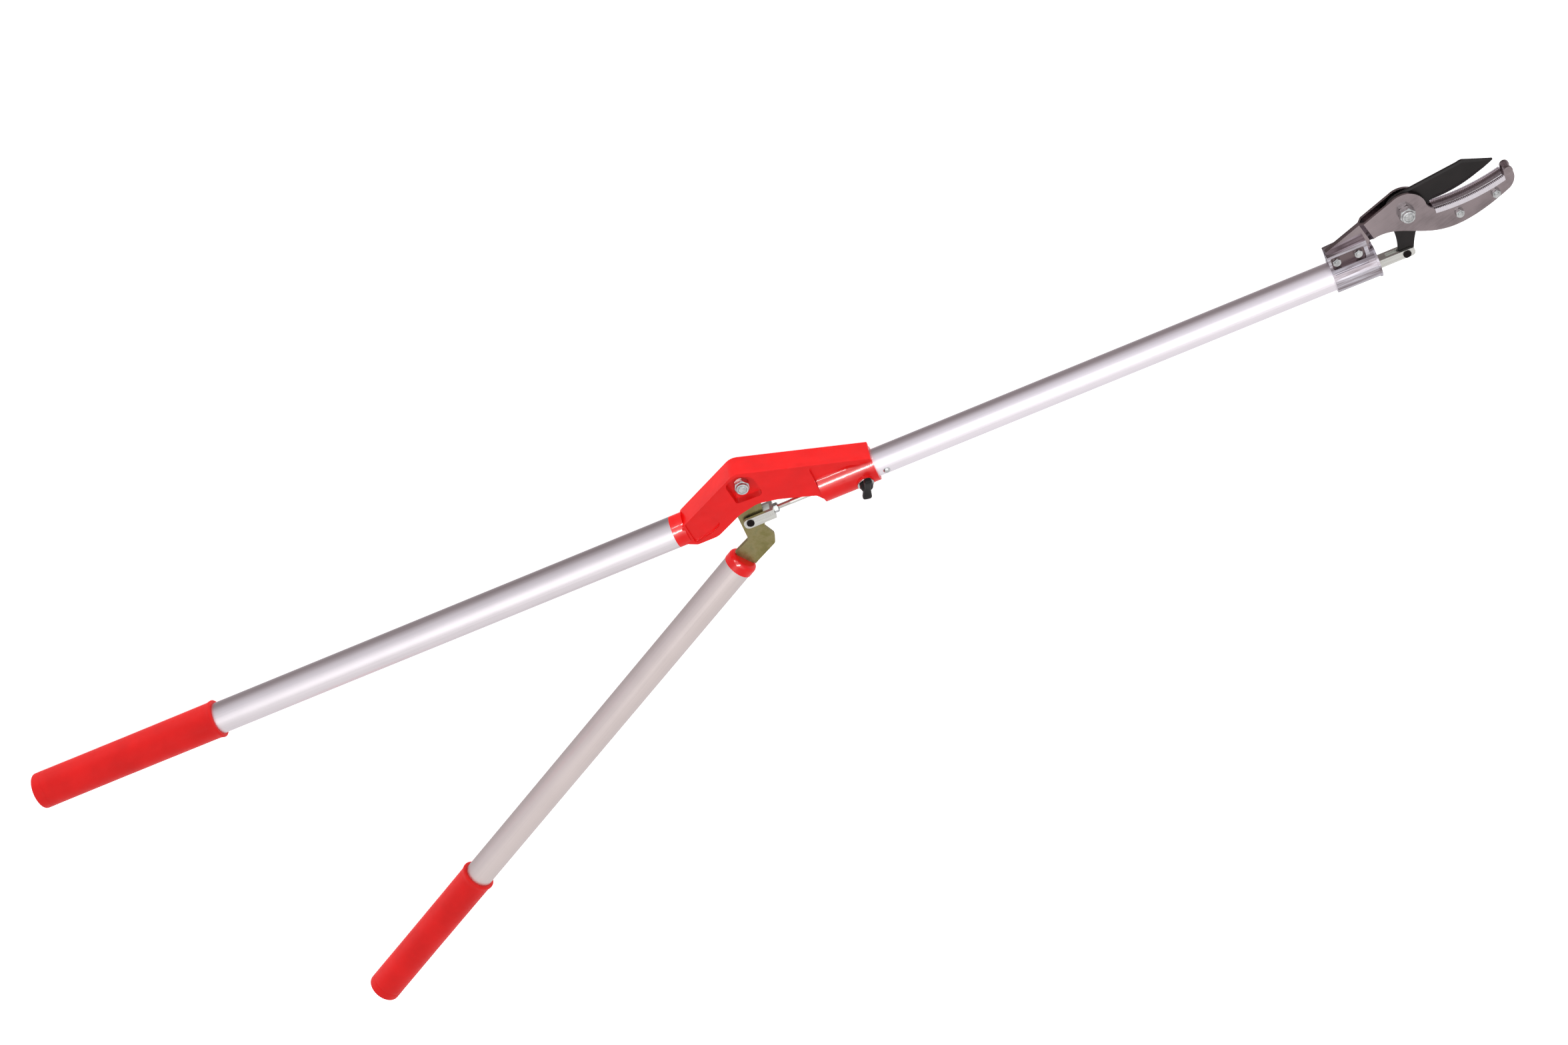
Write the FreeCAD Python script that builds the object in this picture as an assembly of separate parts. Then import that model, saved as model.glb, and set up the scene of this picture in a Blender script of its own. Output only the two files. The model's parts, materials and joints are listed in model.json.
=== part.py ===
"""Long-reach cut-and-hold pruner: a two-tube pole, a swinging hand lever and a bypass head.

Layout frame: x = 0 at the lever pivot, y = 0 on the pole's axis, z = 0 on the mid-plane of the tool.
Written parts are shifted along x so that x = 0 is the front rim of the pivot housing.
The pole runs along +X to the head, the lever hangs to -Y, and the pivot axes stand along +Z.
All sizes are in millimetres.
"""
import FreeCAD, Part
import math
import os

V = FreeCAD.Vector

# ---- driving dimensions -------------------------------------------------------------------------
POLE_R = 13.0            # front tube, outside radius
POLE_WALL = 1.6
REAR_R = 15.0            # rear tube, outside radius
REAR_WALL = 1.8
REAR_Y = 13.0            # the rear tube's axis lies this far above the pole's axis
REAR_LENGTH = 655.0      # rear tube, from the housing's rear rim to its end
REAR_GRIP_LENGTH = 191.0
LEVER_R = 14.0           # lever tube, outside radius
LEVER_WALL = 1.8
LEVER_ANGLE = 31.7       # degrees between the lever and the pole
LEVER_OFFSET = 53.8      # lever axis to lever pivot
LEVER_START = 81.0       # from the pivot's foot on the lever axis to the front of the lever tube
LEVER_LENGTH = 632.0     # lever tube, from its front to its end
LEVER_GRIP_LENGTH = 184.0
GRIP_WALL = 2.6          # soft sleeve over either tube

PIVOT_Y = 38.0           # both pivots stand this far above the pole's axis
PIVOT_SPAN = 626.0       # lever pivot to blade pivot
ROD_DROP = 4.664         # the pull rod runs this far under the pole's axis
ARM_TILT = 12.5          # degrees, how far both arms lean back from square to the pole

HOUSING_HALF = 13.0      # half the thickness of the pivot housing
RIM_X = 115.5            # front rim of the housing
SOCKET_R = POLE_R + 3.2  # outside radius of the housing's front socket
SOCKET_X = 62.0          # rear face of the front socket
REAR_RIM_X = -76.0       # rear rim of the housing
SPIGOT_LENGTH = 36.0

BLADE_HALF = 1.6         # half the thickness of the blade
PLATE_T = 2.6            # head side plates
PLATE_IN = BLADE_HALF + 2.2           # inner face of the side plates at the jaw; their tails touch
JOG_X = PIVOT_SPAN - 29.0             # where the side plates step outwards, on the pole's axis
JOG_LENGTH = 4.0
JOG_SLANT = 0.26         # how far the step leans back per millimetre upwards
STRIP_T = 1.6            # serrated strips on the side plates
STRIP_HEIGHT = 5.3
TOOTH_PITCH = 1.5
TOOTH_HEIGHT = 0.9
JAW_X0, JAW_X1 = PIVOT_SPAN + 24.0, PIVOT_SPAN + 87.6
JAW_R = 158.0            # radius of the toothed line, hollow side up
JAW_Y0, JAW_Y1 = PIVOT_Y - 6.4, PIVOT_Y - 1.5
CORE_DROP = 3.4          # the core lies this far under the tooth tips
GROOVE_DROP = 7.5        # floor of the blade groove under the tooth tips

COLLAR_X0, COLLAR_X1 = PIVOT_SPAN - 76.0, PIVOT_SPAN - 35.0
EAR_X1 = JOG_X - 11.0    # the collar's ears end here, behind the step in the side plates
COLLAR_R = POLE_R + 2.6
WINDOW_FLOOR = PLATE_T + 3.4          # the ears' recessed faces, from the mid-plane
COLLAR_EAR = WINDOW_FLOOR + 2.8       # half the thickness of the collar's ears
POLE_END_X = COLLAR_X0 + 20.0         # front end of the front tube, inside the collar
POLE_START_X = SOCKET_X + 4.0         # rear end of the front tube, inside the socket

ROD_R = 2.5
LEVER_PLATE_HALF = 2.0
PIVOT_BOLT_R = 4.0
LINK_PIN_R = 2.5

SLIDE_GAP = 0.05         # radial running clearance on pins and shafts
SIDE_GAP = 0.2           # side clearance between faces that slide past each other

# ---- derived places -----------------------------------------------------------------------------
TILT = math.radians(ARM_TILT)
ARM = (PIVOT_Y + ROD_DROP) / math.cos(TILT)     # pivot to link pin, on the lever and on the blade
PIN_DX = -ARM * math.sin(TILT)
PIN_Y = -ROD_DROP
LEVER_PIN = (PIN_DX, PIN_Y)
BLADE_PIVOT = (PIVOT_SPAN, PIVOT_Y)
BLADE_PIN = (PIVOT_SPAN + PIN_DX, PIN_Y)
PLATE_OUT = PLATE_IN + PLATE_T
LEVER_DIR = V(math.cos(math.radians(LEVER_ANGLE)), math.sin(math.radians(LEVER_ANGLE)), 0)
LEVER_SIDE = V(-LEVER_DIR.y, LEVER_DIR.x, 0)
LEVER_FOOT = V(0, PIVOT_Y, 0) - LEVER_SIDE * LEVER_OFFSET


# ---- shape helpers ------------------------------------------------------------------------------
def cyl(x, y, r, z0, z1):
    return Part.makeCylinder(r, z1 - z0, V(x, y, z0))


def ring(x, y, r_out, r_in, z0, z1):
    return cyl(x, y, r_out, z0, z1).cut(cyl(x, y, r_in, z0 - 1, z1 + 1))


def bar_x(y, z, r, x0, x1):
    return Part.makeCylinder(r, x1 - x0, V(x0, y, z), V(1, 0, 0))


def tube_x(y, r, wall, x0, x1):
    return bar_x(y, 0, r, x0, x1).cut(bar_x(y, 0, r - wall, x0 - 1, x1 + 1))


def box(x0, x1, y0, y1, z0, z1):
    return Part.makeBox(x1 - x0, y1 - y0, z1 - z0, V(x0, y0, z0))


def hexagon(x, y, across_flats, z0, z1, turn=0.0):
    """Hexagonal prism with its outer corners taken off, as on a nut or a bolt head."""
    r = across_flats / math.sqrt(3)
    corners = [V(x + r * math.cos(math.radians(turn + 60 * i)),
                 y + r * math.sin(math.radians(turn + 60 * i)), z0) for i in range(7)]
    prism = Part.Face(Part.makePolygon(corners)).extrude(V(0, 0, z1 - z0))
    drop = 0.12 * across_flats
    edge = across_flats / 2
    cone = Part.makeCone(edge + drop, edge, drop, V(x, y, z1 - drop))
    low = Part.makeCone(edge, edge + drop, drop, V(x, y, z0))
    barrel = cyl(x, y, edge + drop, z0 + drop, z1 - drop)
    return prism.common(low.fuse([barrel, cone]))


def rounded(points, z0, z1):
    """Prism over a polygon; a point (x, y, r) has its corner rounded with radius r."""
    count = len(points)
    corners = []
    for i, point in enumerate(points):
        here = V(point[0], point[1], z0)
        r = point[2] if len(point) > 2 else 0.0
        if r == 0.0:
            corners.append((here, here, here))
            continue
        before = V(points[i - 1][0], points[i - 1][1], z0) - here
        after = V(points[(i + 1) % count][0], points[(i + 1) % count][1], z0) - here
        before.normalize()
        after.normalize()
        half = before.getAngle(after) / 2
        reach = r / math.tan(half)
        middle = before + after
        middle.normalize()
        top = here + middle * (r / math.sin(half) - r)
        corners.append((here + before * reach, top, here + after * reach))
    edges = []
    for i, (start, top, end) in enumerate(corners):
        if (end - start).Length > 1e-6:
            edges.append(Part.Arc(start, top, end).toShape())
        ahead = corners[(i + 1) % count][0]
        if (ahead - end).Length > 1e-6:
            edges.append(Part.makeLine(end, ahead))
    return Part.Face(Part.Wire(edges)).extrude(V(0, 0, z1 - z0))


def outline(runs, z0, z1):
    """Prism over a closed outline; each run is a list of points joined by one smooth curve."""
    edges = []
    for run in runs:
        points = [V(x, y, z0) for x, y in run]
        if len(points) == 2:
            edges.append(Part.makeLine(*points))
        elif len(points) == 3:
            edges.append(Part.Arc(*points).toShape())
        else:
            curve = Part.BSplineCurve()
            curve.interpolate(points)
            edges.append(curve.toShape())
    return Part.Face(Part.Wire(edges)).extrude(V(0, 0, z1 - z0))


def mirrored(shape):
    return shape.mirror(V(0, 0, 0), V(0, 0, 1))


def along_lever(distance, side=0.0, z=0.0):
    """Point on the lever: distance back from the pivot's foot, side towards the pole."""
    return LEVER_FOOT - LEVER_DIR * distance + LEVER_SIDE * side + V(0, 0, z)


def lever_bar(r, start, end):
    return Part.makeCylinder(r, end - start, along_lever(start), LEVER_DIR * -1)


def lever_prism(start, end, side0, side1, z0, z1):
    corners = [along_lever(start, side0, z0), along_lever(start, side1, z0),
               along_lever(end, side1, z0), along_lever(end, side0, z0), along_lever(start, side0, z0)]
    return Part.Face(Part.makePolygon(corners)).extrude(V(0, 0, z1 - z0))


def polar(centre, r, angle):
    return (centre[0] + r * math.cos(math.radians(angle)), centre[1] + r * math.sin(math.radians(angle)))


# ---- the pivot housing ---------------------------------------------------------------------------
SLOT_HALF = LEVER_PLATE_HALF + 0.8    # half width of the narrow slot for the lever plate
RECESS_FLOOR = SLOT_HALF + 2.0        # face that the pivot nut and the bolt head bear on
CLEVIS_GAP = LEVER_PLATE_HALF + 2.2   # rear clevis, half the gap between its ears
CLEVIS_HALF = CLEVIS_GAP + 3.2        # rear clevis, half its width
CAVITY_HALF = CLEVIS_HALF + 2.0       # half width of the open cavity for the clevis
CLAMP_X = RIM_X - 13.5   # clamp screw, behind the front rim
CLAMP_LEAN = 20.0        # degrees that the clamp screw leans from +Z towards -Y
CLAMP_R = 3.0
CLAMP_SEAT = POLE_R + 3.8             # the clamp washer's seat, from the pole's axis
CLAMP_DIR = V(0, -math.sin(math.radians(CLAMP_LEAN)), math.cos(math.radians(CLAMP_LEAN)))


def clamp_cyl(r, start, end):
    return Part.makeCylinder(r, end - start, V(CLAMP_X, 0, 0) + CLAMP_DIR * start, CLAMP_DIR)


def housing():
    top_front = SOCKET_R - 0.6
    slab = rounded([(RIM_X, top_front), (-1.0, PIVOT_Y + 18.6, 14),
                    (REAR_RIM_X + 10.0, REAR_Y + 10.5, 6), (REAR_RIM_X + 6.0, REAR_Y - 8.0, 5),
                    (REAR_RIM_X + 16.0, REAR_Y - 13.6, 6), (-40.0, -0.6, 16), (-13.0, 12.8, 18),
                    (6.0, 17.0, 22), (24.0, 12.8, 20), (46.0, 4.6, 14), (57.0, 0.0, 4), (SOCKET_X + 1, -9.0),
                    (RIM_X, -9.0)], -HOUSING_HALF, HOUSING_HALF)
    rear_end = SOCKET_X - 0.5
    front_pocket = rounded([(rear_end, PIVOT_Y - 5.0, 3), (rear_end, -12.0), (RIM_X + 1, -12.0),
                            (RIM_X + 1, SOCKET_R - 3.6), (RIM_X - 11.5, SOCKET_R - 2.0)],
                           HOUSING_HALF - 5, HOUSING_HALF + 1)
    slab = slab.cut([front_pocket, mirrored(front_pocket)])
    socket = bar_x(0, 0, SOCKET_R, SOCKET_X, RIM_X)
    collar = bar_x(REAR_Y, 0, REAR_R, REAR_RIM_X, REAR_RIM_X + 12)
    spigot = bar_x(REAR_Y, 0, REAR_R - REAR_WALL, REAR_RIM_X - SPIGOT_LENGTH, REAR_RIM_X + 1)
    boss = clamp_cyl(8.4, 6, CLAMP_SEAT)
    body = slab.fuse([socket, collar, spigot, boss])
    cuts = [bar_x(0, 0, POLE_R + SLIDE_GAP, POLE_START_X - 0.4, RIM_X + 1),
            bar_x(0, 0, POLE_R - 3.0, 40.0, POLE_START_X)]
    cuts.append(rounded([(-12.5, PIVOT_Y + 12.4, 10), (12.5, PIVOT_Y + 12.4, 10), (34, 22), (56, 12),
                         (56, -20), (-37, -20), (-37, 5), (-24, PIVOT_Y - 6, 10)],
                        -SLOT_HALF, SLOT_HALF))
    cuts.append(rounded([(-36, -20), (-36, 8, 6), (-14, 24, 10), (14, 24, 10), (44, 13, 8),
                         (59, 8, 4), (59, -20)], -CAVITY_HALF, CAVITY_HALF))
    cuts.append(cyl(0, PIVOT_Y, PIVOT_BOLT_R + SLIDE_GAP, -HOUSING_HALF - 1, HOUSING_HALF + 1))
    recess = rounded([(-13.0, PIVOT_Y + 11.0, 6), (-11.0, PIVOT_Y - 12.8, 3),
                      (15.0, PIVOT_Y - 13.8, 4), (13.0, PIVOT_Y + 8.5, 8),
                      (0.5, PIVOT_Y + 15.4, 9)], RECESS_FLOOR, HOUSING_HALF + 1)
    cuts.append(recess)
    cuts.append(cyl(0, PIVOT_Y, PIVOT_HEX / 2 + 3.0, -HOUSING_HALF - 1, -RECESS_FLOOR))
    rear_pocket = rounded([(REAR_RIM_X + 13.7, REAR_Y + 12.0, 2),
                           (REAR_RIM_X + 14.6, REAR_Y - 10.8, 2), (-44.0, 5.0, 5),
                           (-32.0, 11.0, 5), (-40.0, PIVOT_Y - 5.0, 6)],
                          HOUSING_HALF - 2.2, HOUSING_HALF + 1)
    cuts += [rear_pocket, mirrored(rear_pocket)]
    cuts.append(clamp_cyl(CLAMP_R + SLIDE_GAP, 8, CLAMP_SEAT + 1))
    return body.cut(cuts).removeSplitter()


PIVOT_HEX = 13.0         # both pivot bolts and their nuts
PIVOT_HEAD = 5.3
NUT_HEX_HEIGHT = 6.2
NUT_HEIGHT = 9.2
NUT_COLLAR_R = PIVOT_HEX / 2 - 0.6


def pivot_bolt(x, y, floor, seat):
    """Hexagon bolt along Z: head on the -Z side at -floor, end just past the nut that sits at seat."""
    head = hexagon(x, y, PIVOT_HEX, -floor - PIVOT_HEAD, -floor, 15)
    end = seat + NUT_HEIGHT + 0.4
    tip = Part.makeCone(PIVOT_BOLT_R, PIVOT_BOLT_R - 0.8, 0.8, V(x, y, end - 0.8))
    return head.fuse([cyl(x, y, PIVOT_BOLT_R, -floor, end - 0.8), tip]).removeSplitter()


def locking_nut(x, y, seat):
    """Hexagon nut with the round collar that holds its nylon ring."""
    body = hexagon(x, y, PIVOT_HEX, seat, seat + NUT_HEX_HEIGHT, 10)
    crown = cyl(x, y, NUT_COLLAR_R, seat, seat + NUT_HEIGHT)
    top = seat + NUT_HEIGHT
    crown = crown.makeFillet(1.0, [edge for edge in crown.Edges if edge.BoundBox.ZMin > top - 0.1])
    return body.fuse(crown).cut(cyl(x, y, PIVOT_BOLT_R, seat - 1, top + 1)).removeSplitter()


def washers(x, y, r_out, r_in, levels):
    """One ring per (z0, z1) pair, as separate solids of one group."""
    return Part.makeCompound([ring(x, y, r_out, r_in, z0, z1) for z0, z1 in levels])


# ---- pole, grips and the clamp screw -------------------------------------------------------------
REAR_END_X = REAR_RIM_X - REAR_LENGTH
GRIP_END = 3.0           # closed end of each soft sleeve
RIM_FLARE = 0.8
RIM_WIDTH = 5.0


def sleeve(r, length):
    """Soft grip along +X from its closed end at x = 0, with a raised rim at the open end."""
    outer = r + GRIP_WALL
    end = Part.makeCylinder(outer, length, V(0, 0, 0), V(1, 0, 0))
    end = end.makeFillet(2.4, [edge for edge in end.Edges if edge.BoundBox.XMax < 0.1])
    swell = Part.makeCone(outer, outer + RIM_FLARE, RIM_WIDTH, V(length - RIM_WIDTH, 0, 0), V(1, 0, 0))
    bore = Part.makeCylinder(r, length, V(GRIP_END, 0, 0), V(1, 0, 0))
    return end.fuse(swell).cut(bore).removeSplitter()


def rear_grip():
    grip = sleeve(REAR_R, REAR_GRIP_LENGTH)
    grip.translate(V(REAR_END_X - GRIP_END, REAR_Y, 0))
    return grip


def lever_grip():
    grip = sleeve(LEVER_R, LEVER_GRIP_LENGTH)
    grip.rotate(V(0, 0, 0), V(0, 0, 1), LEVER_ANGLE)
    grip.translate(along_lever(LEVER_START + LEVER_LENGTH + GRIP_END))
    return grip


STOP_X = RIM_X + 8.5     # stop rivet, just in front of the rim
STOP_LEAN = 15.0
STOP_SHANK_R = 1.6
GUIDE_LENGTH = 16.0
GUIDE_PLAY = 4.4         # the rod rises this far when the lever is pulled
STOP_DIR = V(0, -math.sin(math.radians(STOP_LEAN)), math.cos(math.radians(STOP_LEAN)))


def stop_cyl(r, start, end):
    return Part.makeCylinder(r, end - start, V(STOP_X, 0, 0) + STOP_DIR * start, STOP_DIR)


def front_tube():
    tube = tube_x(0, POLE_R, POLE_WALL, POLE_START_X, POLE_END_X)
    return tube.cut(stop_cyl(STOP_SHANK_R, 4, POLE_R + 2))


def stop_rivet():
    ball = Part.makeSphere(4.0, V(STOP_X, 0, 0) + STOP_DIR * (POLE_R - 2.0))
    dome = ball.common(stop_cyl(3.3, POLE_R - 0.5, POLE_R + 3))
    dome = dome.cut(bar_x(0, 0, POLE_R, STOP_X - 8, STOP_X + 8))
    return dome.fuse(stop_cyl(STOP_SHANK_R, POLE_R - POLE_WALL - 2.5, POLE_R + 0.5)).removeSplitter()


def rod_guide():
    """Nylon block that keeps the rod off the tube, with a hole that allows its side travel."""
    low, high = PIVOT_Y - ARM - 0.6, PIN_Y + GUIDE_PLAY
    block = bar_x(0, 0, POLE_R - POLE_WALL, STOP_X - GUIDE_LENGTH / 2, STOP_X + GUIDE_LENGTH / 2)
    x0, x1 = STOP_X - GUIDE_LENGTH, STOP_X + GUIDE_LENGTH
    play = ROD_R + 0.4
    hole = bar_x(low, 0, play, x0, x1).fuse([bar_x(high, 0, play, x0, x1),
                                             box(x0, x1, low, high, -play, play)])
    return block.cut([hole, stop_cyl(STOP_SHANK_R, POLE_R - POLE_WALL - 2.5, POLE_R)])


def clamp_washer():
    return clamp_cyl(7.8, CLAMP_SEAT, CLAMP_SEAT + 1.2).cut(clamp_cyl(CLAMP_R + 0.3, 0, 30))


SCREW_REACH = 5.0        # the screw goes this far into the knob, from the washer's seat


def clamp_screw():
    return clamp_cyl(CLAMP_R, POLE_R + 0.35, CLAMP_SEAT + SCREW_REACH)


WING_HALF_SPAN = 15.0
WING_HALF_T = 4.2
WING_TURN = -19.0        # turn of the wing from square to the pole
KNOB_HEIGHT = 7.2


def wing_knob():
    """Black thumb wing moulded on the screw; the wing stands across the pole."""
    base = CLAMP_SEAT + 1.4
    hub = clamp_cyl(6.0, base, base + 5.0)
    wing = rounded([(-WING_HALF_T, -WING_HALF_SPAN, 3.8), (WING_HALF_T, -WING_HALF_SPAN, 3.8),
                    (WING_HALF_T, WING_HALF_SPAN, 3.8), (-WING_HALF_T, WING_HALF_SPAN, 3.8)],
                   base + 0.6, base + KNOB_HEIGHT)
    wing.rotate(V(0, 0, 0), V(0, 0, 1), WING_TURN)
    wing.rotate(V(0, 0, 0), V(1, 0, 0), CLAMP_LEAN)
    wing.translate(V(CLAMP_X, 0, 0))
    return hub.fuse(wing).cut(clamp_cyl(CLAMP_R, base - 1, CLAMP_SEAT + SCREW_REACH)).removeSplitter()


# ---- the lever -----------------------------------------------------------------------------------
CAP_LIP = 11.0           # the red plug stands this far out of the lever tube
CAP_DEPTH = 34.0
NECK_HALF = LEVER_R - 2.4
TONGUE_HALF = LEVER_R - LEVER_WALL - 2.7
TONGUE_END = LEVER_START + 30.0


def lever_plate():
    neck = LEVER_START - CAP_LIP - 6.0
    start_a = along_lever(neck, NECK_HALF)
    start_b = along_lever(neck, -NECK_HALF)
    tongue_a = along_lever(TONGUE_END, TONGUE_HALF)
    tongue_b = along_lever(TONGUE_END, -TONGUE_HALF)
    shoulder = LEVER_START - CAP_LIP - 1.0
    shoulder_a = along_lever(shoulder, NECK_HALF)
    shoulder_b = along_lever(shoulder, -NECK_HALF)
    inner_a = along_lever(shoulder, TONGUE_HALF)
    inner_b = along_lever(shoulder, -TONGUE_HALF)
    plate = rounded([(-10, PIVOT_Y + 10, 9.9), (10, PIVOT_Y + 10, 9.9), (10.0, PIVOT_Y - 14, 8),
                     (4.6, -2, 8), (2.6, -12.5, 4), (-0.8, -17.5, 2.5), (4.4, -30.5, 4),
                     (0.8, -40.0, 5),
                     (start_b.x, start_b.y), (shoulder_b.x, shoulder_b.y), (inner_b.x, inner_b.y),
                     (tongue_b.x, tongue_b.y), (tongue_a.x, tongue_a.y), (inner_a.x, inner_a.y),
                     (shoulder_a.x, shoulder_a.y), (start_a.x, start_a.y), (-19.6, -25.0, 3),
                     (-18.4, 3.0, 12)], -LEVER_PLATE_HALF, LEVER_PLATE_HALF)
    holes = [cyl(0, PIVOT_Y, BUSH_R, -5, 5),
             cyl(*LEVER_PIN, LINK_PIN_R + SLIDE_GAP, -5, 5)]
    return plate.cut(holes)


BUSH_R = PIVOT_BOLT_R + 1.6


def lever_cap():
    """Red plug in the lever tube's mouth, slotted for the plate's tongue."""
    start = LEVER_START - CAP_LIP
    lip = lever_bar(LEVER_R + 0.5, start, LEVER_START)
    front = [edge for edge in lip.Edges
             if (V(*edge.CenterOfMass) - along_lever(start)).Length < 0.5 and edge.Length > 40]
    lip = lip.makeFillet(4.5, front)
    plug = lever_bar(LEVER_R - LEVER_WALL, LEVER_START - 1, LEVER_START + CAP_DEPTH)
    slot = lever_prism(start - 5, TONGUE_END, TONGUE_HALF, -TONGUE_HALF,
                       -LEVER_PLATE_HALF, LEVER_PLATE_HALF)
    return lip.fuse(plug).cut(slot).removeSplitter()


def lever_tube():
    end = LEVER_START + LEVER_LENGTH
    return lever_bar(LEVER_R, LEVER_START, end).cut(lever_bar(LEVER_R - LEVER_WALL, LEVER_START - 1, end + 1))


# ---- the pull rod and its clevises ---------------------------------------------------------------
CLEVIS_LOW, CLEVIS_HIGH = -5.6, 4.6
WEB_X0, WEB_X1 = 11.5, 14.5
FORK_SLOT = BLADE_HALF + 0.4          # front clevis, half the gap for the blade's tang
FORK_HALF = FORK_SLOT + 3.0           # front clevis, half its width
FORK_HEIGHT = 8.0
FORK_X0 = PIVOT_SPAN - 43.0
FORK_SLOT_X = FORK_X0 + 16.0
ROD_THREAD = 12.0


def rear_clevis():
    x, y = LEVER_PIN
    ear = rounded([(WEB_X1, y + CLEVIS_LOW), (WEB_X1, y + CLEVIS_HIGH), (x - 6.2, y + CLEVIS_HIGH, 4.5),
                   (x - 6.2, y + CLEVIS_LOW, 4.5)], CLEVIS_GAP, CLEVIS_HALF)
    web = box(WEB_X0, WEB_X1, y + CLEVIS_LOW, y + CLEVIS_HIGH, -CLEVIS_GAP - 1, CLEVIS_GAP + 1)
    body = ear.fuse([mirrored(ear), web])
    return body.cut([cyl(x, y, LINK_PIN_R, -20, 20), bar_x(y, 0, ROD_R, 0, 20)]).removeSplitter()


def front_clevis():
    x, y = BLADE_PIN
    body = rounded([(FORK_X0, y - FORK_HEIGHT / 2), (x + 7.6, y - FORK_HEIGHT / 2, 3.6),
                    (x + 7.6, y + FORK_HEIGHT / 2, 3.6), (FORK_X0, y + FORK_HEIGHT / 2)],
                   -FORK_HALF, FORK_HALF)
    slot = box(FORK_SLOT_X, x + 20, y - 10, y + 10, -FORK_SLOT, FORK_SLOT)
    thread = bar_x(y, 0, ROD_R, FORK_X0 - 1, FORK_X0 + ROD_THREAD)
    return body.cut([slot, thread, cyl(x, y, LINK_PIN_R, -20, 20)])


def pull_rod():
    return bar_x(PIN_Y, 0, ROD_R, WEB_X0, FORK_X0 + ROD_THREAD)


def lock_nut(x0, x1):
    """Hexagon nut on the rod, its axis along X."""
    nut = hexagon(0, 0, 8.0, 0, x1 - x0).cut(cyl(0, 0, ROD_R, -1, x1 - x0 + 1))
    nut.rotate(V(0, 0, 0), V(0, 1, 0), 90)
    nut.translate(V(x0, PIN_Y, 0))
    return nut


def link_pin(x, y, half):
    """Plain pin with a flat head on the far side and a riveted end on the near side."""
    head = cyl(x, y, LINK_PIN_R + 1.4, -half - 1.2, -half)
    return head.fuse(cyl(x, y, LINK_PIN_R, -half, half + 0.8)).removeSplitter()


def link_clip(x, y, half):
    return ring(x, y, LINK_PIN_R + 1.1, LINK_PIN_R, half, half + 0.8)


# ---- the head ------------------------------------------------------------------------------------
HUB_R = 18.5             # round part of the side plates about the blade pivot
TAIL_SLOT_Y = POLE_R + 1.4            # floor of the collar's slot for the plate tails
WINDOW = (COLLAR_X0 + 2.4, COLLAR_X0 + 32.6, POLE_R - 1.0, POLE_R + 11.0)
GROOVE_ANGLE = 53.6      # degrees from +Y to the relief groove along the collar's barrel
COLLAR_BOLTS = ((COLLAR_X0 + 7.0, POLE_R + 4.9), (COLLAR_X0 + 26.8, POLE_R + 4.9))
JAW_SCREWS = ((PIVOT_SPAN + 43.0, PIVOT_Y - 21.2), (PIVOT_SPAN + 77.0, PIVOT_Y - 16.3))
TIP_X, TIP_Y = PIVOT_SPAN + 91.8, PIVOT_Y - 1.8


def jaw_line(drop=0.0):
    """Three points of the toothed line, or of a line parallel to it and lower."""
    chord = V(JAW_X1 - JAW_X0, JAW_Y1 - JAW_Y0, 0)
    sag = JAW_R - math.sqrt(JAW_R ** 2 - (chord.Length / 2) ** 2)
    down = V(chord.y, -chord.x, 0)
    down.normalize()
    middle = V((JAW_X0 + JAW_X1) / 2, (JAW_Y0 + JAW_Y1) / 2, 0) + down * sag
    return [(JAW_X0, JAW_Y0 - drop), (middle.x, middle.y - drop), (JAW_X1, JAW_Y1 - drop)]


def plate_outline(z0, z1):
    px, py = BLADE_PIVOT
    hub_a = polar(BLADE_PIVOT, HUB_R, 118)
    hub_m = polar(BLADE_PIVOT, HUB_R, 65)
    hub_b = polar(BLADE_PIVOT, HUB_R, 8)
    rear, rear_top = COLLAR_X0 + 1.0, POLE_R + 14.6
    tail_end = EAR_X1 + 2.5
    low = TAIL_SLOT_Y + 0.1
    notch = jaw_line(TOOTH_HEIGHT + 0.4)
    notch_end = (notch[2][0], notch[2][1])
    tip_in = (JAW_X1 + 0.4, TIP_Y + 0.6)
    tip_m, tip_b = (px + 95.9, py - 1.9), (px + 89.6, py - 17.4)
    tail_step = (tail_end, TAIL_SLOT_Y + 5.1)
    runs = [[(rear, low), (rear, rear_top)],
            [(rear, rear_top), hub_a],
            [hub_a, hub_m, hub_b],
            [hub_b, (px + 20.6, py - 4.6), notch[0]],
            notch,
            [notch_end, tip_in],
            [tip_in, (px + 92.2, py + 3.8), tip_m],
            [tip_m, (px + 95.0, py - 10.8), tip_b],
            [tip_b, (px + 69.2, py - 26.0), (px + 53.0, py - 30.6), (px + 36.0, py - 32.4),
             (px + 18.3, py - 29.2), (px + 7.0, py - 24.3), (px - 6.3, py - 17.3),
             (px - 15.3, py - 13.7), (px - 25.0, py - 12.2), (px - 33.5, py - 13.8), tail_step],
            [tail_step, (tail_end, low)],
            [(tail_end, low), (rear, low)]]
    return outline(runs, z0, z1)


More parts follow.
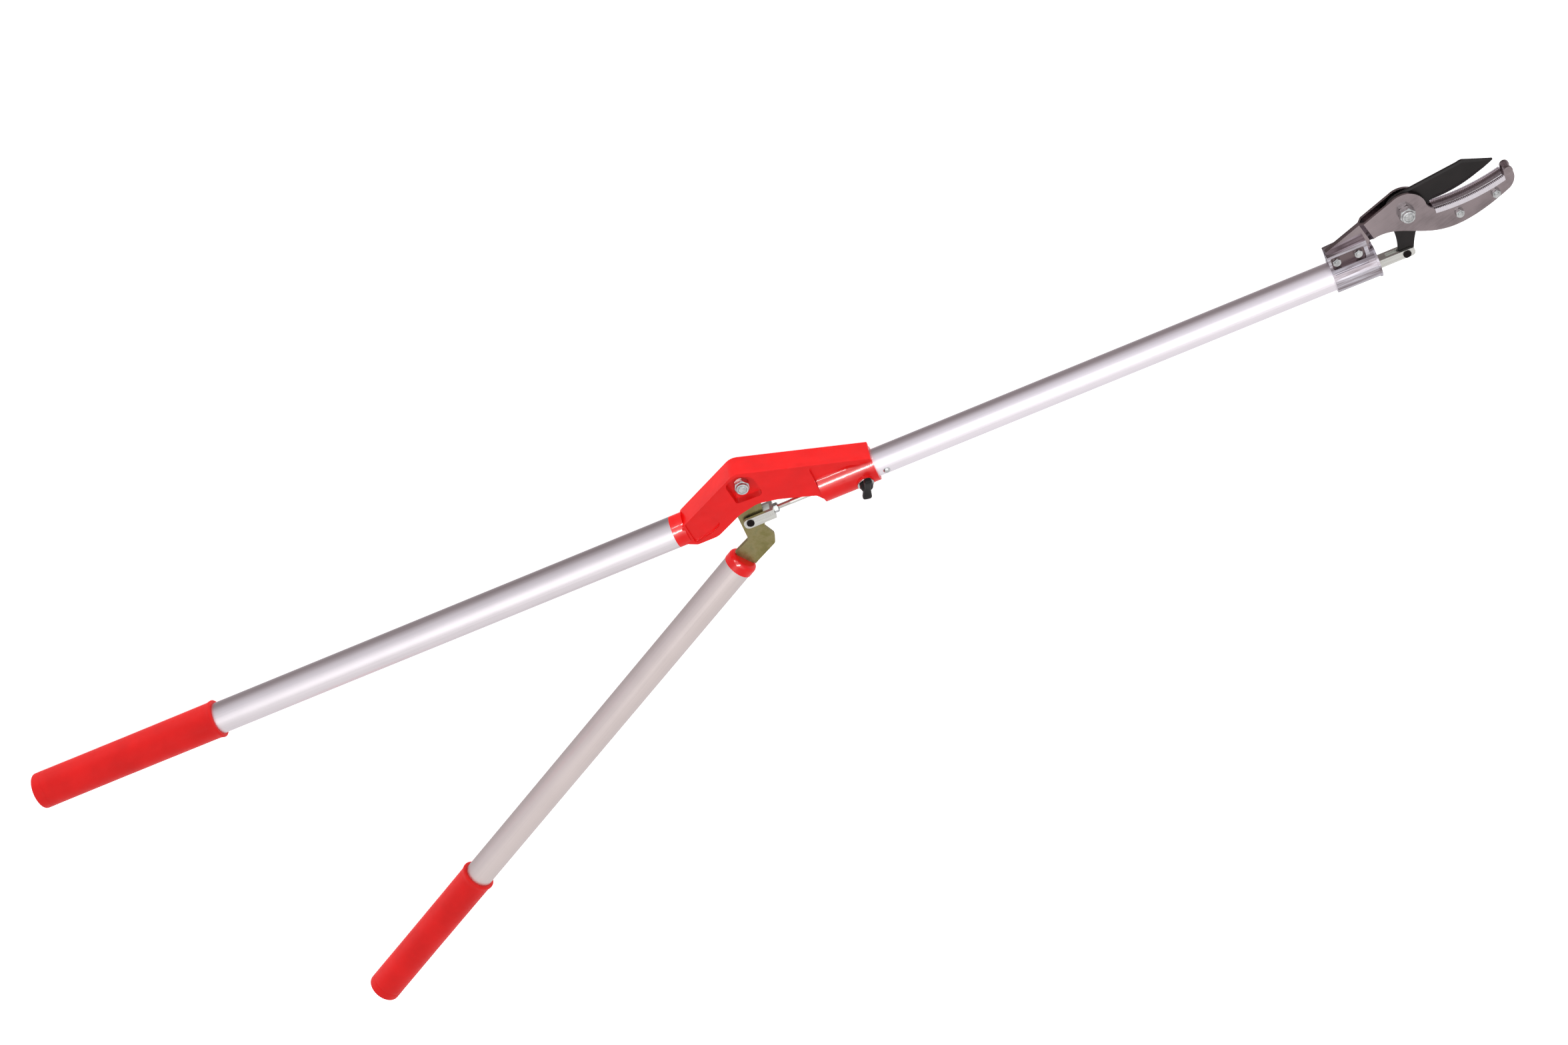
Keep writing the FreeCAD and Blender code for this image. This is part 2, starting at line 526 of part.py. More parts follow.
def side_plate():
    """Near side plate: its outline cut through a strip that steps out ahead of the collar."""
    jog_end = JOG_X + JOG_LENGTH
    rear, front = COLLAR_X0 - 10, TIP_X + 40
    step = [(rear, 0), (JOG_X, 0), (jog_end, PLATE_IN), (front, PLATE_IN), (front, PLATE_OUT),
            (jog_end - 0.8, PLATE_OUT), (JOG_X - 0.8, PLATE_T), (rear, PLATE_T)]
    corners = [V(x, 0, z) for x, z in step]
    strip = Part.Face(Part.makePolygon(corners + corners[:1])).extrude(V(-80 * JOG_SLANT, 80, 0))
    plate = plate_outline(0, 20).common(strip)
    holes = [cyl(*BLADE_PIVOT, PIVOT_BOLT_R + SLIDE_GAP, -1, 20), cyl(TIP_X, TIP_Y, TIP_PIN_R, -1, 20)]
    holes += [cyl(x, y, SMALL_BOLT_R, -1, 20) for x, y in COLLAR_BOLTS + JAW_SCREWS]
    return plate.cut(holes).removeSplitter()


def jaw_layer(top_points, depth, z0, z1):
    """Layer of the jaw: from a given top line down to the toothed line lowered by depth."""
    top = [V(x, y, z0) for x, y in top_points]
    low = jaw_line(depth)
    floor = Part.Arc(*[V(x, y, z0) for x, y in reversed(low)]).toShape()
    end = V(low[0][0], low[0][1], z0)
    edges = [Part.makeLine(top[i], top[i + 1]) for i in range(len(top) - 1)]
    edges += [Part.makeLine(top[-1], V(low[2][0], low[2][1], z0)), floor, Part.makeLine(end, top[0])]
    return Part.Face(Part.Wire(edges)).extrude(V(0, 0, z1 - z0))


def toothed_points():
    """Saw-tooth points along the toothed line, a tip at every pitch."""
    start, middle, end = jaw_line()
    arc = Part.Arc(V(*start, 0), V(*middle, 0), V(*end, 0)).toShape()
    count = int(arc.Length / TOOTH_PITCH)
    points = []
    for i in range(2 * count + 1):
        at = arc.valueAt(arc.FirstParameter + (arc.LastParameter - arc.FirstParameter) * i / (2 * count))
        points.append((at.x, at.y - (TOOTH_HEIGHT if i % 2 == 0 else 0.0)))
    return points


def jaw_strip():
    """Serrated strip on the outer face of the near side plate."""
    return jaw_layer(toothed_points(), STRIP_HEIGHT, PLATE_OUT, PLATE_OUT + STRIP_T)


def jaw_core():
    """Middle of the jaw between the side plates, with the groove that the blade closes into."""
    top = jaw_line(CORE_DROP)
    arc = Part.Arc(*[V(x, y, -PLATE_IN) for x, y in top]).toShape()
    end, start = V(*top[2], -PLATE_IN), V(*top[0], -PLATE_IN)
    low_end = V(JAW_X1, PIVOT_Y - 16.5, -PLATE_IN)
    low_start = V(JAW_X0 + 2, PIVOT_Y - 28.5, -PLATE_IN)
    middle = V((JAW_X0 + JAW_X1) / 2 + 2.2, PIVOT_Y - 27.4, -PLATE_IN)
    floor = Part.Arc(low_end, middle, low_start).toShape()
    edges = [arc, Part.makeLine(end, low_end), floor, Part.makeLine(low_start, start)]
    core = Part.Face(Part.Wire(edges)).extrude(V(0, 0, 2 * PLATE_IN))
    groove_half = BLADE_HALF + 0.6
    groove = jaw_layer([(x, y + 10) for x, y in jaw_line()], GROOVE_DROP, -groove_half, groove_half)
    return core.cut([groove] + [cyl(x, y, SMALL_BOLT_R, -20, 20) for x, y in JAW_SCREWS]).removeSplitter()


def blade():
    bx, by = BLADE_PIVOT
    px, py = BLADE_PIN
    hub_a = polar(BLADE_PIVOT, 17.2, 96)
    hub_m = polar(BLADE_PIVOT, 17.2, 145)
    hub_b = polar(BLADE_PIVOT, 17.2, 200)
    end_a = polar(BLADE_PIN, 7.0, 165)
    end_m = polar(BLADE_PIN, 7.0, 255)
    end_b = polar(BLADE_PIN, 7.0, 350)
    corner_a, corner_b = (bx + 53.5, by + 24.2), (bx + 58.5, by + 24.8)
    tip = (bx + 83.2, by + 13.9)
    heel = (bx + 23.0, by - 2.0)
    runs = [[hub_a, corner_a],
            [corner_a, (bx + 56.2, by + 24.9), corner_b],
            [corner_b, tip],
            [tip, (bx + 57.0, by + 1.9), heel],
            [heel, (bx + 16.5, by - 9.0), (bx + 6.0, by - 22.0)],
            [(bx + 6.0, by - 22.0), (bx + 0.5, by - 34.0), end_b],
            [end_b, end_m, end_a],
            [end_a, (bx - 13.6, by - 24.0), hub_b],
            [hub_b, hub_m, hub_a]]
    body = outline(runs, -BLADE_HALF, BLADE_HALF)
    return body.cut([cyl(bx, by, PIVOT_BOLT_R + SLIDE_GAP, -5, 5),
                     cyl(px, py, LINK_PIN_R + SLIDE_GAP, -5, 5)])


def head_collar():
    """Clamp collar: a bored barrel on the tube, with two ears over the tails of the side plates."""
    barrel = bar_x(0, 0, COLLAR_R, COLLAR_X0, COLLAR_X1)
    lip = bar_x(0, 0, COLLAR_R + 0.9, COLLAR_X1 - 2.0, COLLAR_X1)
    side = [V(COLLAR_X0, 0, -COLLAR_EAR), V(EAR_X1, 0, -COLLAR_EAR),
            V(EAR_X1, POLE_R + 15.6, -COLLAR_EAR), V(COLLAR_X0, POLE_R + 13.4, -COLLAR_EAR)]
    ears = Part.Face(Part.makePolygon(side + side[:1])).extrude(V(0, 0, 2 * COLLAR_EAR))
    body = barrel.fuse([ears, lip])
    x0, x1, y0, y1 = WINDOW
    window = rounded([(x0, y0, 1.5), (x1, y0, 1.5), (x1, y1, 1.5), (x0, y1, 1.5)], WINDOW_FLOOR, 30)
    cuts = [bar_x(0, 0, POLE_R, COLLAR_X0 - 1, POLE_END_X),
            bar_x(0, 0, POLE_R - 0.4, POLE_END_X - 1, COLLAR_X1 + 1),
            box(COLLAR_X0 - 1, COLLAR_X1 + 1, TAIL_SLOT_Y, 40, -PLATE_T, PLATE_T),
            window, mirrored(window)]
    cuts += [cyl(x, y, SMALL_BOLT_R, -20, 20) for x, y in COLLAR_BOLTS]
    groove = bar_x(COLLAR_R * math.cos(math.radians(GROOVE_ANGLE)),
                   COLLAR_R * math.sin(math.radians(GROOVE_ANGLE)), 0.9, x0, x1)
    cuts += [groove, mirrored(groove)]
    return body.cut(cuts).removeSplitter()


SMALL_BOLT_R = 2.0       # collar bolts and jaw screws
SMALL_HEX = 7.0
SMALL_HEAD = 2.8
SMALL_NUT = 3.4
TIP_PIN_R = 1.5


def small_bolts(places, seat):
    """Hexagon bolts along Z with their heads on the -Z side."""
    bolts = []
    for x, y in places:
        head = hexagon(x, y, SMALL_HEX, -seat - SMALL_HEAD, -seat, 10)
        shank = cyl(x, y, SMALL_BOLT_R, -seat, seat + SMALL_NUT + 1.0)
        bolts.append(head.fuse(shank).removeSplitter())
    return Part.makeCompound(bolts)


def small_nuts(places, seat):
    nuts = []
    for x, y in places:
        nut = hexagon(x, y, SMALL_HEX, seat, seat + SMALL_NUT, 20)
        nuts.append(nut.cut(cyl(x, y, SMALL_BOLT_R, seat - 1, seat + SMALL_NUT + 1)))
    return Part.makeCompound(nuts)


def tip_spacer():
    """Sleeve that ties the tips of the side plates together, riveted flush with them."""
    sleeve_part = cyl(TIP_X, TIP_Y, 3.0, -PLATE_IN, PLATE_IN)
    shank = cyl(TIP_X, TIP_Y, TIP_PIN_R, -PLATE_OUT, PLATE_OUT)
    return sleeve_part.fuse(shank).removeSplitter()


# ---- the whole tool ------------------------------------------------------------------------------
def save(name, shape):
    moved = shape.copy()
    moved.translate(V(-RIM_X, 0, 0))
    if not moved.isValid():
        print("NOT VALID", name)
    moved.exportStep("parts/" + name + ".step")
    print(f"{name:22s} solids {len(moved.Solids):2d}  volume {moved.Volume:10.1f}")


def main():
    os.makedirs("parts", exist_ok=True)
    bx, by = BLADE_PIVOT
    gap = LEVER_PLATE_HALF + SIDE_GAP
    head_gap = BLADE_HALF + SIDE_GAP
    plate_near = side_plate()
    strip_near = jaw_strip()
    pieces = {
        "housing": housing(),
        "pivot_bolt": pivot_bolt(0, PIVOT_Y, RECESS_FLOOR, RECESS_FLOOR),
        "pivot_nut": locking_nut(0, PIVOT_Y, RECESS_FLOOR),
        "pivot_bush": ring(0, PIVOT_Y, BUSH_R, PIVOT_BOLT_R + SLIDE_GAP,
                           -LEVER_PLATE_HALF, LEVER_PLATE_HALF),
        "pivot_thrust_rings": washers(0, PIVOT_Y, 9.0, PIVOT_BOLT_R + 0.2,
                                      [(-SLOT_HALF, -gap), (gap, SLOT_HALF)]),
        "rear_tube": tube_x(REAR_Y, REAR_R, REAR_WALL, REAR_END_X, REAR_RIM_X),
        "rear_grip": rear_grip(),
        "front_tube": front_tube(),
        "stop_rivet": stop_rivet(),
        "rod_guide": rod_guide(),
        "clamp_washer": clamp_washer(),
        "clamp_screw": clamp_screw(),
        "wing_knob": wing_knob(),
        "lever_plate": lever_plate(),
        "lever_cap": lever_cap(),
        "lever_tube": lever_tube(),
        "lever_grip": lever_grip(),
        "rear_clevis": rear_clevis(),
        "rear_link_pin": link_pin(*LEVER_PIN, CLEVIS_HALF),
        "rear_link_clip": link_clip(*LEVER_PIN, CLEVIS_HALF),
        "rear_link_rings": washers(*LEVER_PIN, 5.0, LINK_PIN_R + 0.2,
                                   [(-CLEVIS_GAP, -gap), (gap, CLEVIS_GAP)]),
        "pull_rod": pull_rod(),
        "rear_lock_nut": lock_nut(WEB_X1, WEB_X1 + 4.5),
        "front_lock_nut": lock_nut(FORK_X0 - 4.0, FORK_X0),
        "front_clevis": front_clevis(),
        "front_link_pin": link_pin(*BLADE_PIN, FORK_HALF),
        "front_link_clip": link_clip(*BLADE_PIN, FORK_HALF),
        "head_collar": head_collar(),
        "collar_bolts": small_bolts(COLLAR_BOLTS, WINDOW_FLOOR),
        "collar_nuts": small_nuts(COLLAR_BOLTS, WINDOW_FLOOR),
        "side_plate_near": plate_near,
        "side_plate_far": mirrored(plate_near),
        "jaw_strip_near": strip_near,
        "jaw_strip_far": mirrored(strip_near),
        "jaw_core": jaw_core(),
        "jaw_screws": small_bolts(JAW_SCREWS, PLATE_OUT),
        "jaw_nuts": small_nuts(JAW_SCREWS, PLATE_OUT),
        "tip_spacer": tip_spacer(),
        "blade": blade(),
        "blade_pivot_bolt": pivot_bolt(bx, by, PLATE_OUT, PLATE_OUT),
        "blade_pivot_nut": locking_nut(bx, by, PLATE_OUT),
        "blade_spacers": washers(bx, by, 9.0, PIVOT_BOLT_R,
                                 [(-PLATE_IN, -head_gap), (head_gap, PLATE_IN)]),
    }
    for name, shape in pieces.items():
        save(name, shape)


main()
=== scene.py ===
"""Looks for the long-reach cut-and-hold pruner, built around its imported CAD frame."""

import json
import math

import bmesh
import bpy
from mathutils import Matrix, Vector, noise


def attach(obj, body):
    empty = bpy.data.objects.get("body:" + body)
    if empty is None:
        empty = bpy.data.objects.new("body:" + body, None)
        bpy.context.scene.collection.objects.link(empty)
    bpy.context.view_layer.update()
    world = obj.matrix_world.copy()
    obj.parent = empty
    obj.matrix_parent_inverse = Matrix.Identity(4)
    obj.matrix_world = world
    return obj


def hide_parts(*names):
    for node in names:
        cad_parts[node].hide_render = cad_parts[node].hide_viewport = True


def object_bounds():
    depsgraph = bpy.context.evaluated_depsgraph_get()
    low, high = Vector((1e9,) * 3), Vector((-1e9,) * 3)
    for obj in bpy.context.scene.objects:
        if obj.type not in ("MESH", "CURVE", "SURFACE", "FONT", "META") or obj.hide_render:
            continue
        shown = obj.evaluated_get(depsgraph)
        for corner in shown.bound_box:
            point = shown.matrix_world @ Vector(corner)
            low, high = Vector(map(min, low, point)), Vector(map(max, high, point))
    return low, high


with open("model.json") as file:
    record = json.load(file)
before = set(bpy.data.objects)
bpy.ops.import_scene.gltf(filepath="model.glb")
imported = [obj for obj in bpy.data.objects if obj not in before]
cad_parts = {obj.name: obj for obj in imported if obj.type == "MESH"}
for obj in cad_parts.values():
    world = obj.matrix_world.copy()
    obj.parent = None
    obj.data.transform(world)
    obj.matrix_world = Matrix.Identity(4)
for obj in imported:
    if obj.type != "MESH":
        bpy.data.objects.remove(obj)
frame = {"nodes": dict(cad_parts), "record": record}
CAD_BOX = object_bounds()

# ---- sizes of the CAD frame that the pieces follow, in mm unless said otherwise ----------------
MM = 0.001               # metres in a millimetre
RIM_X = 115.5            # the frame's origin lies this far ahead of the lever pivot
PIVOT_SPAN = 626.0       # lever pivot to blade pivot
PIVOT_Y = 38.0           # both pivots, above the pole's axis
ROD_Y = -4.664           # pull rod's axis
ROD_R = 2.5
REAR_R, REAR_Y = 15.0, 13.0             # rear tube, outside radius and axis
REAR_GRIP_X, REAR_GRIP_LENGTH = -734.0, 191.0
LEVER_R = 14.0
LEVER_ANGLE = math.radians(31.7)
LEVER_OFFSET = 53.8      # lever's axis to lever pivot
LEVER_GRIP_END, LEVER_GRIP_LENGTH = 716.0, 184.0
GRIP_WALL = 2.58         # vinyl outside the tube, 0.02 short of the CAD sleeve
CLAMP_X, CLAMP_SEAT = 102.0, 16.8
CLAMP_LEAN = math.radians(20.0)
WING_TURN = math.radians(-19.0)
WING_HALF_SPAN = 14.6
BLADE_HALF = 1.6
WINDOW_FLOOR = 6.0       # the collar's recessed ears, from the mid-plane
JAW_X0, JAW_X1 = 650.0, 713.6
JAW_Y0, JAW_Y1 = 31.6, 36.5
JAW_R = 158.0            # radius of the toothed line
JAW_FLOOR = ((JAW_X0 + 2.0, 9.5), (684.0, 10.6), (JAW_X1, 21.5))   # underside of the channel
JAW_SCREWS = ((669.0, 16.8), (703.0, 21.7))


def place(x, y, z=0.0):
    """Point given in mm from the lever pivot's x, the pole's axis and the mid-plane."""
    return Vector(((x - RIM_X) * MM, y * MM, z * MM))


def in_scene(name, data):
    """New object that is linked to the scene."""
    made = bpy.data.objects.new(name, data)
    bpy.context.scene.collection.objects.link(made)
    return made


def fill_ramp(band, stops):
    """Sets a colour ramp to its (position, colour) stops, given in rising order."""
    while len(band.elements) < len(stops):
        band.elements.new(0.5)
    for element, (at, colour) in zip(band.elements, stops):
        element.position = at
        element.color = (*colour, 1.0)


# ---- camera -------------------------------------------------------------------------------------
def make_camera():
    """The photo's view of the object as it lies on the floor."""
    right = Vector((0.91598, -0.38351, 0.11792))
    up = Vector((0.37258, 0.70397, -0.60466))
    back = right.cross(up).normalized()
    up = back.cross(right).normalized()
    data = bpy.data.cameras.new("camera")
    data.sensor_width = 36.0
    data.lens = 62.12
    data.clip_start, data.clip_end = 0.05, 50.0
    camera = in_scene("camera", data)
    rotation = Matrix((right, up, back)).transposed().to_4x4()
    camera.matrix_world = Matrix.Translation(place(382.9, 1447.7, 1939.1)) @ rotation
    bpy.context.scene.camera = camera


make_camera()


# ---- materials ----------------------------------------------------------------------------------
class Shader:
    """A Principled material with short helpers for its procedural inputs."""

    def __init__(self, name):
        self.material = bpy.data.materials.new(name)
        self.material.use_nodes = True
        self.tree = self.material.node_tree
        self.tree.nodes.clear()
        self.output = self.node("ShaderNodeOutputMaterial")
        self.surface = self.node("ShaderNodeBsdfPrincipled")
        self.link(self.surface.outputs["BSDF"], self.output.inputs["Surface"])
        self.coords = self.node("ShaderNodeTexCoord").outputs["Object"]

    def node(self, kind):
        return self.tree.nodes.new(kind)

    def link(self, source, target):
        self.tree.links.new(source, target)

    def set(self, **values):
        for key, value in values.items():
            self.surface.inputs[key.replace("_", " ")].default_value = value

    def along(self, angle, stretch):
        """Object coordinates turned about Z by -angle, then scaled by stretch."""
        turn = self.node("ShaderNodeMapping")
        turn.inputs["Rotation"].default_value = (0, 0, -angle)
        self.link(self.coords, turn.inputs["Vector"])
        scale = self.node("ShaderNodeMapping")
        scale.inputs["Scale"].default_value = stretch
        self.link(turn.outputs["Vector"], scale.inputs["Vector"])
        return scale.outputs["Vector"]

    def noise(self, scale, detail=3.0, rough=0.55, vector=None):
        made = self.node("ShaderNodeTexNoise")
        made.inputs["Scale"].default_value = scale
        made.inputs["Detail"].default_value = detail
        made.inputs["Roughness"].default_value = rough
        self.link(vector or self.coords, made.inputs["Vector"])
        return made.outputs["Fac"]

    def ramp(self, source, stops):
        made = self.node("ShaderNodeValToRGB")
        fill_ramp(made.color_ramp, stops)
        self.link(source, made.inputs["Fac"])
        return made.outputs["Color"]

    def spread(self, source, low, high):
        """Maps a noise value near 0.3-0.7 to the range low-high."""
        made = self.node("ShaderNodeMapRange")
        made.inputs["From Min"].default_value = 0.3
        made.inputs["From Max"].default_value = 0.7
        made.inputs["To Min"].default_value = low
        made.inputs["To Max"].default_value = high
        self.link(source, made.inputs["Value"])
        return made.outputs["Result"]

    def bump(self, source, strength, distance, before=None):
        made = self.node("ShaderNodeBump")
        made.inputs["Strength"].default_value = strength
        made.inputs["Distance"].default_value = distance
        self.link(source, made.inputs["Height"])
        if before is not None:
            self.link(before, made.inputs["Normal"])
        return made.outputs["Normal"]

    def finish(self, colour=None, roughness=None, normal=None):
        if colour is not None:
            self.link(colour, self.surface.inputs["Base Color"])
        if roughness is not None:
            self.link(roughness, self.surface.inputs["Roughness"])
        if normal is not None:
            self.link(normal, self.surface.inputs["Normal"])
        return self.material


def shade(colour, factor):
    return tuple(channel * factor for channel in colour)


def moulded(name, colour, roughness, coat, grain, depth):
    """Moulded plastic or vinyl: faint cloudy colour, uneven gloss and a fine skin."""
    s = Shader(name)
    s.set(Coat_Weight=coat, Coat_Roughness=0.07, IOR=1.5, Specular_IOR_Level=0.16)
    cloud = s.noise(38.0, 4.0)
    base = s.ramp(cloud, [(0.30, shade(colour, 0.90)), (0.70, shade(colour, 1.05))])
    rough = s.spread(s.noise(160.0, 3.0), roughness * 0.82, roughness * 1.2)
    skin = s.bump(s.noise(grain, 2.0), 0.35, depth)
    flow = s.bump(s.noise(55.0, 1.0), 0.25, depth * 4, skin)
    return s.finish(base, rough, flow)


def grained_metal(name, colour, roughness, angle=0.0, stretch=(6.0, 900.0, 900.0), contrast=0.10,
                  depth=1.5e-5, mottle=0.06, cloud=0.4):
    """Metal with a drawn, brushed or anodised grain along one direction; cloud is the share of
    its colour that comes from broad patches."""
    s = Shader(name)
    s.set(Metallic=1.0)
    grain = s.noise(1.0, 4.0, 0.6, s.along(angle, stretch))
    broad = s.noise(26.0, 3.0)
    mix = s.node("ShaderNodeMix")
    mix.data_type = "FLOAT"
    mix.inputs["Factor"].default_value = cloud
    s.link(grain, mix.inputs["A"])
    s.link(broad, mix.inputs["B"])
    base = s.ramp(mix.outputs["Result"], [(0.32, shade(colour, 1 - contrast)), (0.5, colour),
                                          (0.68, shade(colour, 1 + contrast * 0.5))])
    rough = s.spread(grain, roughness - mottle, roughness + mottle)
    return s.finish(base, rough, s.bump(grain, 0.3, depth))


def chromate():
    """Olive-yellow passivated zinc with cloudy iridescent patches."""
    s = Shader("yellow_chromate")
    s.set(Metallic=0.85)
    patches = s.noise(70.0, 6.0, 0.7)
    base = s.ramp(patches, [(0.28, (0.17, 0.15, 0.060)), (0.45, (0.25, 0.225, 0.085)),
                            (0.58, (0.31, 0.27, 0.13)), (0.75, (0.22, 0.225, 0.10))])
    rough = s.spread(s.noise(240.0, 3.0), 0.30, 0.46)
    grain = s.noise(1.0, 3.0, 0.6, s.along(0.0, (700.0, 30.0, 700.0)))
    return s.finish(base, rough, s.bump(grain, 0.25, 2e-5))


def coated_blade():
    """Black low-friction coat: satin, with a faint orange-peel and lighter grinding marks."""
    s = Shader("blade_coat")
    s.set(IOR=1.5, Specular_IOR_Level=0.3)
    base = s.ramp(s.noise(60.0, 5.0), [(0.3, (0.008, 0.0065, 0.0065)), (0.7, (0.014, 0.011, 0.011))])
    rough = s.spread(s.noise(300.0, 3.0), 0.28, 0.42)
    grind = s.noise(1.0, 3.0, 0.6, s.along(0.3, (60.0, 1100.0, 60.0)))
    peel = s.bump(s.noise(900.0, 2.0), 0.3, 1.5e-5)
    return s.finish(base, rough, s.bump(grind, 0.25, 1.5e-5, peel))


def zinc(name, colour, low, high):
    """Bright zinc plate: clean, with small cloudy marks and fine tool lines."""
    s = Shader(name)
    s.set(Metallic=1.0)
    base = s.ramp(s.noise(260.0, 5.0, 0.65), [(0.36, shade(colour, 0.62)), (0.6, colour)])
    rough = s.spread(s.noise(600.0, 3.0), low, high)
    return s.finish(base, rough, s.bump(s.noise(1500.0, 3.0), 0.25, 1.2e-5))


def cast_collar():
    """Polished cast collar whose recessed ears are coloured darker and browner."""
    s = Shader("collar_polished")
    s.set(Metallic=1.0)
    grain = s.noise(1.0, 4.0, 0.6, s.along(0.0, (14.0, 260.0, 260.0)))
    marks = s.noise(300.0, 4.0)
    bright = s.ramp(grain, [(0.36, (0.20, 0.17, 0.185)), (0.47, (0.40, 0.36, 0.39)),
                            (0.56, (0.62, 0.60, 0.66)), (0.68, (0.80, 0.79, 0.86))])
    height = s.node("ShaderNodeSeparateXYZ")
    s.link(s.coords, height.inputs[0])
    level = s.node("ShaderNodeMath")
    level.operation = "ABSOLUTE"
    s.link(height.outputs["Z"], level.inputs[0])
    floor_mask = s.node("ShaderNodeMath")
    floor_mask.operation = "COMPARE"
    floor_mask.inputs[1].default_value = WINDOW_FLOOR * MM
    floor_mask.inputs[2].default_value = 0.12 * MM
    s.link(level.outputs[0], floor_mask.inputs[0])
    mix = s.node("ShaderNodeMix")
    mix.data_type = "RGBA"
    mix.inputs["B"].default_value = (0.20, 0.155, 0.16, 1.0)
    s.link(floor_mask.outputs[0], mix.inputs["Factor"])
    s.link(bright, mix.inputs["A"])
    rough = s.spread(grain, 0.16, 0.26)
    return s.finish(mix.outputs["Result"], rough, s.bump(marks, 0.3, 2.0e-5, s.bump(grain, 0.2, 8e-6)))


MATERIALS = {
    "red_housing": moulded("red_gloss", (0.80, 0.004, 0.004), 0.34, 0.30, 1400.0, 3e-6),
    "red_grip": moulded("red_vinyl", (0.70, 0.010, 0.009), 0.48, 0.06, 2200.0, 2.0e-5),
    "black_nylon": moulded("black_nylon", (0.008, 0.007, 0.007), 0.36, 0.1, 1800.0, 2.5e-5),
    "front_tube_aluminium": grained_metal("front_tube_anodised", (0.97, 0.93, 0.98), 0.38, contrast=0.05,
                                          depth=8e-6),
    "rear_tube_aluminium": grained_metal("rear_tube_anodised", (0.86, 0.82, 0.85), 0.42, contrast=0.06,
                                         depth=8e-6),
    "lever_tube_aluminium": grained_metal("lever_tube_anodised", (0.78, 0.70, 0.68), 0.42, LEVER_ANGLE,
                                          contrast=0.06, depth=8e-6),
    "polished_collar": cast_collar(),
    "plate_steel": grained_metal("plate_brushed", (0.34, 0.288, 0.298), 0.18, 0.35,
                                 (60.0, 600.0, 300.0), contrast=0.34, depth=3e-6, mottle=0.03,
                                 cloud=0.8),
    "strip_steel": grained_metal("strip_ground", (0.80, 0.77, 0.82), 0.28,
                                 stretch=(900.0, 120.0, 900.0), depth=1.2e-5),
    "channel_steel": grained_metal("channel_polished", (0.80, 0.77, 0.80), 0.24,
                                   stretch=(30.0, 300.0, 300.0), contrast=0.05, depth=1e-6,
                                   mottle=0.03),
    "zinc_clevis": grained_metal("clevis_zinc", (0.72, 0.73, 0.69), 0.30,
                                 stretch=(30.0, 900.0, 900.0), contrast=0.16, depth=1.0e-5),
    "zinc_bolts": zinc("bright_zinc", (0.70, 0.72, 0.72), 0.10, 0.20),
    "black_pins": zinc("black_oxide", (0.022, 0.018, 0.018), 0.30, 0.45),
    "yellow_chromate_steel": chromate(),
    "blade_black": coated_blade(),
}
SLOT = {part["node"]: part["material_slot"] for part in frame["record"]["subparts"]}


def dress(obj, slot):
    """Gives an object the one material of a record slot."""
    obj.data.materials.clear()
    obj.data.materials.append(MATERIALS[slot])


for node_name, node in frame["nodes"].items():
    dress(node, SLOT[node_name])


# ---- mesh helpers -------------------------------------------------------------------------------
def add_piece(name, bm, body, node, sharp=35.0):
    """Turns a bmesh into a shaded piece that rides on a body and stands for a CAD node."""
    mesh = bpy.data.meshes.new(name)
    bmesh.ops.recalc_face_normals(bm, faces=bm.faces)
    limit = math.radians(sharp)
    for face in bm.faces:
        face.smooth = True
    for edge in bm.edges:
        edge.smooth = len(edge.link_faces) == 2 and edge.calc_face_angle(0.0) < limit
    bm.to_mesh(mesh)
    bm.free()
    piece = in_scene(name, mesh)
    even = piece.modifiers.new("even_normals", "WEIGHTED_NORMAL")
    even.keep_sharp = True
    dress(piece, SLOT[node])
    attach(piece, body)
    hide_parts(node)
    return piece


def cad_mesh(node):
    """A CAD node's mesh with its doubled points merged."""
    bm = bmesh.new()
    bm.from_mesh(frame["nodes"][node].data)
    bmesh.ops.remove_doubles(bm, verts=bm.verts, dist=2e-6)
    bmesh.ops.dissolve_degenerate(bm, edges=bm.edges, dist=2e-6)
    return bm


def softened(name, node, body, width, segments=2, angle=28.0):
    """The CAD shape with its hard edges broken, as tumbling, moulding or stamping leaves them."""
    bm = cad_mesh(node)
    bmesh.ops.dissolve_limit(bm, angle_limit=math.radians(0.4), verts=bm.verts, edges=bm.edges)
    limit = math.radians(angle)
    edges = [e for e in bm.edges if len(e.link_faces) == 2 and e.calc_face_angle(0.0) > limit]
    bmesh.ops.bevel(bm, geom=edges, offset=width * MM, offset_type="OFFSET", segments=segments,
                    profile=0.5, affect="EDGES", clamp_overlap=True)
    bmesh.ops.triangulate(bm, faces=[f for f in bm.faces if len(f.verts) > 4])
    add_piece(name, bm, body, node)


def spun(rings, count, radius, matrix):
    """Surface about X: rings of (x, r), where radius(x, r, angle) may vary r; ends close on r = 0."""
    bm = bmesh.new()
    loops = []
    for x, r in rings:
        if r == 0.0:
            loops.append([bm.verts.new(matrix @ Vector((x * MM, 0, 0)))])
            continue
        loop = []
        for i in range(count):
            angle = 2 * math.pi * i / count
            reach = radius(x, r, angle) * MM
            loop.append(bm.verts.new(matrix @ Vector((x * MM, reach * math.cos(angle),
                                                      reach * math.sin(angle)))))
        loops.append(loop)
    for a, b in zip(loops, loops[1:]):
        for i in range(count):
            k = (i + 1) % count
            corners = [a[i % len(a)], a[k % len(a)], b[k % len(b)], b[i % len(b)]]
            kept = [v for n, v in enumerate(corners) if v not in corners[:n]]
            if len(kept) > 2:
                bm.faces.new(kept)
    return bm


